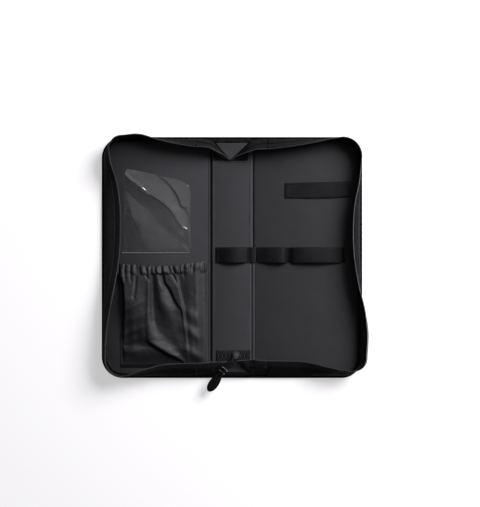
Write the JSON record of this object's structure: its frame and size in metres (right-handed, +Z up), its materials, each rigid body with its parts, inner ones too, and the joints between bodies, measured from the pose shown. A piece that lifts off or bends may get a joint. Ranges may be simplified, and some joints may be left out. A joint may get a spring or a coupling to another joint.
{
  "type": "instrument case",
  "caption": "Soft black instrument case with a zip all round, open flat: card window, gathered pocket, elastic loops and a leather pull tab.",
  "frame": {"origin": "middle of the spine's underside, on the surface that the open case lies on", "axes": "+X across the open case towards the right cover, +Y along the spine towards its top end, +Z up"},
  "size_m": [0.3384, 0.3258, 0.0284],
  "materials": {
    "outer_cloth": "matt woven nylon",
    "lining": "smooth satin leatherette",
    "board": "plain board",
    "zip_tape": "woven tape",
    "zip_coil": "nylon coil",
    "elastic": "ribbed elastic",
    "thread": "polyester thread",
    "pocket_cloth": "satin weave",
    "clear_film": "clear soft vinyl",
    "metal": "dark nickel",
    "leather": "black leather"
  },
  "bodies": {
    "spine": {"spine_skin": "outer_cloth", "spine_board": "board", "spine_lining": "lining", "spine_loop": "elastic", "spine_piping": "outer_cloth", "end_band_top": "outer_cloth", "end_band_bottom": "outer_cloth", "end_patch": "elastic", "end_stitches": "thread", "fold_strip_left": "outer_cloth", "fold_strip_right": "outer_cloth", "band_bridge": "elastic", "end_fold_top_left": "outer_cloth", "end_fold_top_right": "outer_cloth", "end_fold_bottom_left": "outer_cloth", "end_fold_bottom_right": "outer_cloth"},
    "left_cover": {"left_skin": "outer_cloth", "left_board": "board", "left_lining": "lining", "left_piping": "outer_cloth", "left_wall": "outer_cloth", "left_zip_tape": "zip_tape", "left_zip_coil": "zip_coil", "card_window": "clear_film", "window_stitches": "thread", "gathered_pocket": "pocket_cloth", "pocket_casing": "pocket_cloth", "pocket_hem": "pocket_cloth"},
    "right_cover": {"right_skin": "outer_cloth", "right_board": "board", "right_lining": "lining", "right_piping": "outer_cloth", "right_wall": "outer_cloth", "right_zip_tape": "zip_tape", "right_zip_coil": "zip_coil", "upper_strap": "elastic", "small_loop": "elastic", "large_loop": "elastic", "band_tacks": "thread"},
    "top_end": {"end_gusset_top": "lining"},
    "bottom_end": {"end_gusset_bottom": "lining", "zip_slider": "metal"},
    "puller": {"puller": "metal"},
    "tab": {"pull_ring": "metal", "pull_tab": "leather", "tab_rivet": "metal"}
  },
  "joints": [
    {"name": "left_cover_fold", "type": "hinge", "parent": "spine", "child": "left_cover", "pos_m": [-0.0265, 0, 0.0022], "axis": [0, 1, 0], "range_deg": [0, 90], "deforming": ["fold_strip_left", "end_fold_top_left", "end_fold_bottom_left"]},
    {"name": "right_cover_fold", "type": "hinge", "parent": "spine", "child": "right_cover", "pos_m": [0.0265, 0, 0.0022], "axis": [0, -1, 0], "range_deg": [0, 90], "deforming": ["fold_strip_right", "band_bridge", "end_fold_top_right", "end_fold_bottom_right"]},
    {"name": "top_end_fold", "type": "hinge", "parent": "spine", "child": "top_end", "pos_m": [0, 0.14585, 0.008], "axis": [-1, 0, 0], "range_deg": [0, 50]},
    {"name": "bottom_end_fold", "type": "hinge", "parent": "spine", "child": "bottom_end", "pos_m": [0, -0.14585, 0.008], "axis": [1, 0, 0], "range_deg": [0, 50]},
    {"name": "puller_swing", "type": "hinge", "parent": "bottom_end", "child": "puller", "pos_m": [0.00367, -0.12723, 0.01155], "axis": [-0.7431, 0.6691, 0], "range_deg": [0, 75]},
    {"name": "tab_swing", "type": "hinge", "parent": "puller", "child": "tab", "pos_m": [-0.00914, -0.14147, 0.0139], "axis": [-0.7431, 0.6691, 0], "range_deg": [0, 40]}
  ],
  "couplings": [
    {"joint": "top_end_fold", "follows": "left_cover_fold", "ratio": 0.5555},
    {"joint": "bottom_end_fold", "follows": "left_cover_fold", "ratio": 0.5555}
  ]
}
